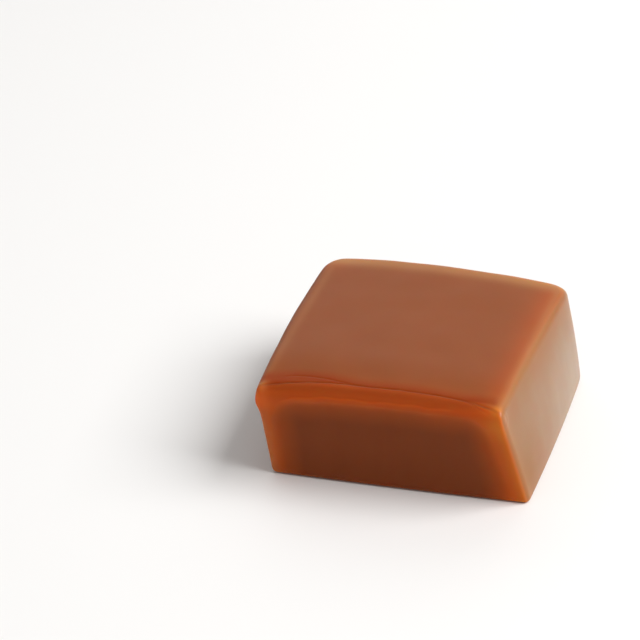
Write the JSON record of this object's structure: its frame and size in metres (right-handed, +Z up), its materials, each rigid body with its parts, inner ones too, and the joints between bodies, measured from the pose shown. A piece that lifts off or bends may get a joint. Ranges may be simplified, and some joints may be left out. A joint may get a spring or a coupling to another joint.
{
  "type": "caramel candy",
  "caption": "Hand-cut block of soft caramel with rounded edges, a folded lip over its hollow front face and a flat underside.",
  "frame": {"origin": "middle of the block's outline, at the level of its flat underside", "axes": "+Z up, -Y out of the front cut face with the folded lip, +X to the right along the longest side"},
  "size_m": [0.0254, 0.0234, 0.0101],
  "materials": {
    "caramel": "set caramel, satin on the broad faces and glossier on the rounded rims, brown with amber where it is thin"
  },
  "bodies": {
    "root": {"caramel": "caramel"}
  },
  "joints": []
}
